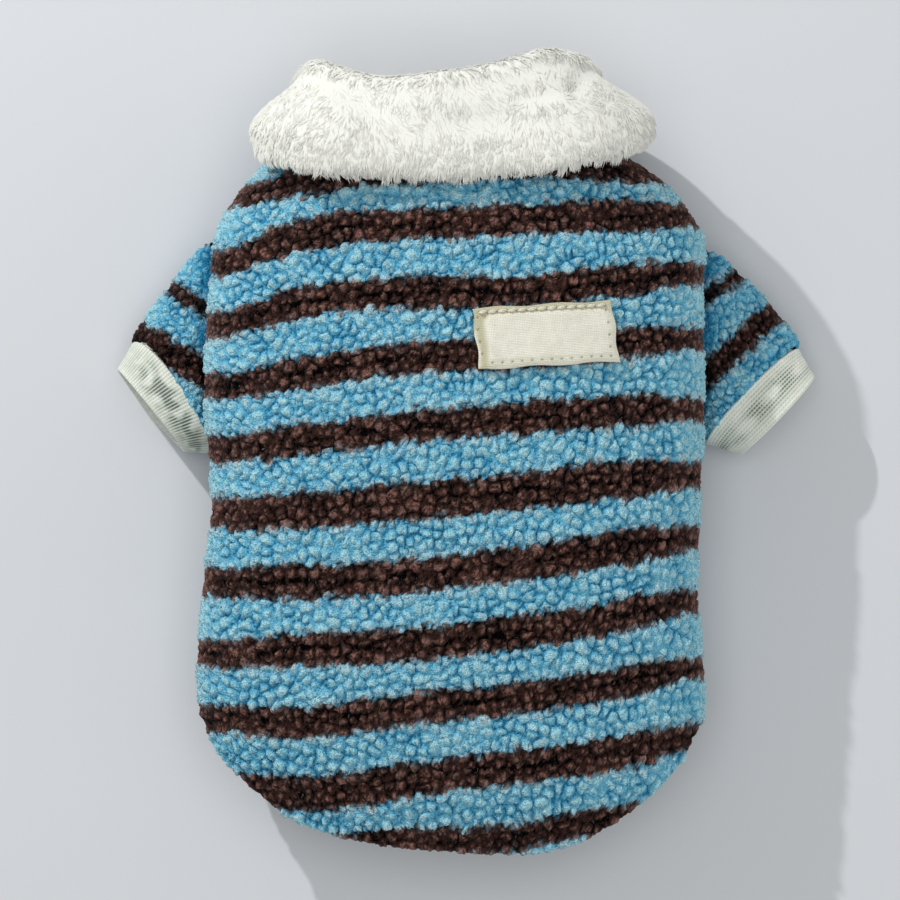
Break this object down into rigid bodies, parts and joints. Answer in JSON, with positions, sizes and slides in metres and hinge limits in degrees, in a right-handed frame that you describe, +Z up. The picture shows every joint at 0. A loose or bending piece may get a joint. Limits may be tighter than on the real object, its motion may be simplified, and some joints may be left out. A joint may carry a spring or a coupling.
{
  "type": "dog coat",
  "caption": "Pull-on dog coat in striped fleece with a turn-down plush collar, two short cuffed sleeves and a rounded tail, filled out, hollow and lying on its belly.",
  "frame": {"origin": "middle of the bounding box, on the surface that the belly rests on", "axes": "+Z up from the belly to the back, +Y from the hem to the neck, +X towards the dog's right side"},
  "size_m": [0.2434, 0.2781, 0.0789],
  "materials": {
    "striped_fleece": "curly sherpa fleece in blue and dark brown stripes",
    "white_plush": "soft off-white plush",
    "cream_rib": "matt cream rib knit",
    "label_tape": "matt woven tape, bare"
  },
  "bodies": {
    "root": {"back_panel": "striped_fleece", "belly_panel": "striped_fleece", "sleeve_left": "striped_fleece", "sleeve_right": "striped_fleece", "cuff_left": "cream_rib", "cuff_right": "cream_rib", "collar": "white_plush", "label_patch": "label_tape"}
  },
  "joints": []
}
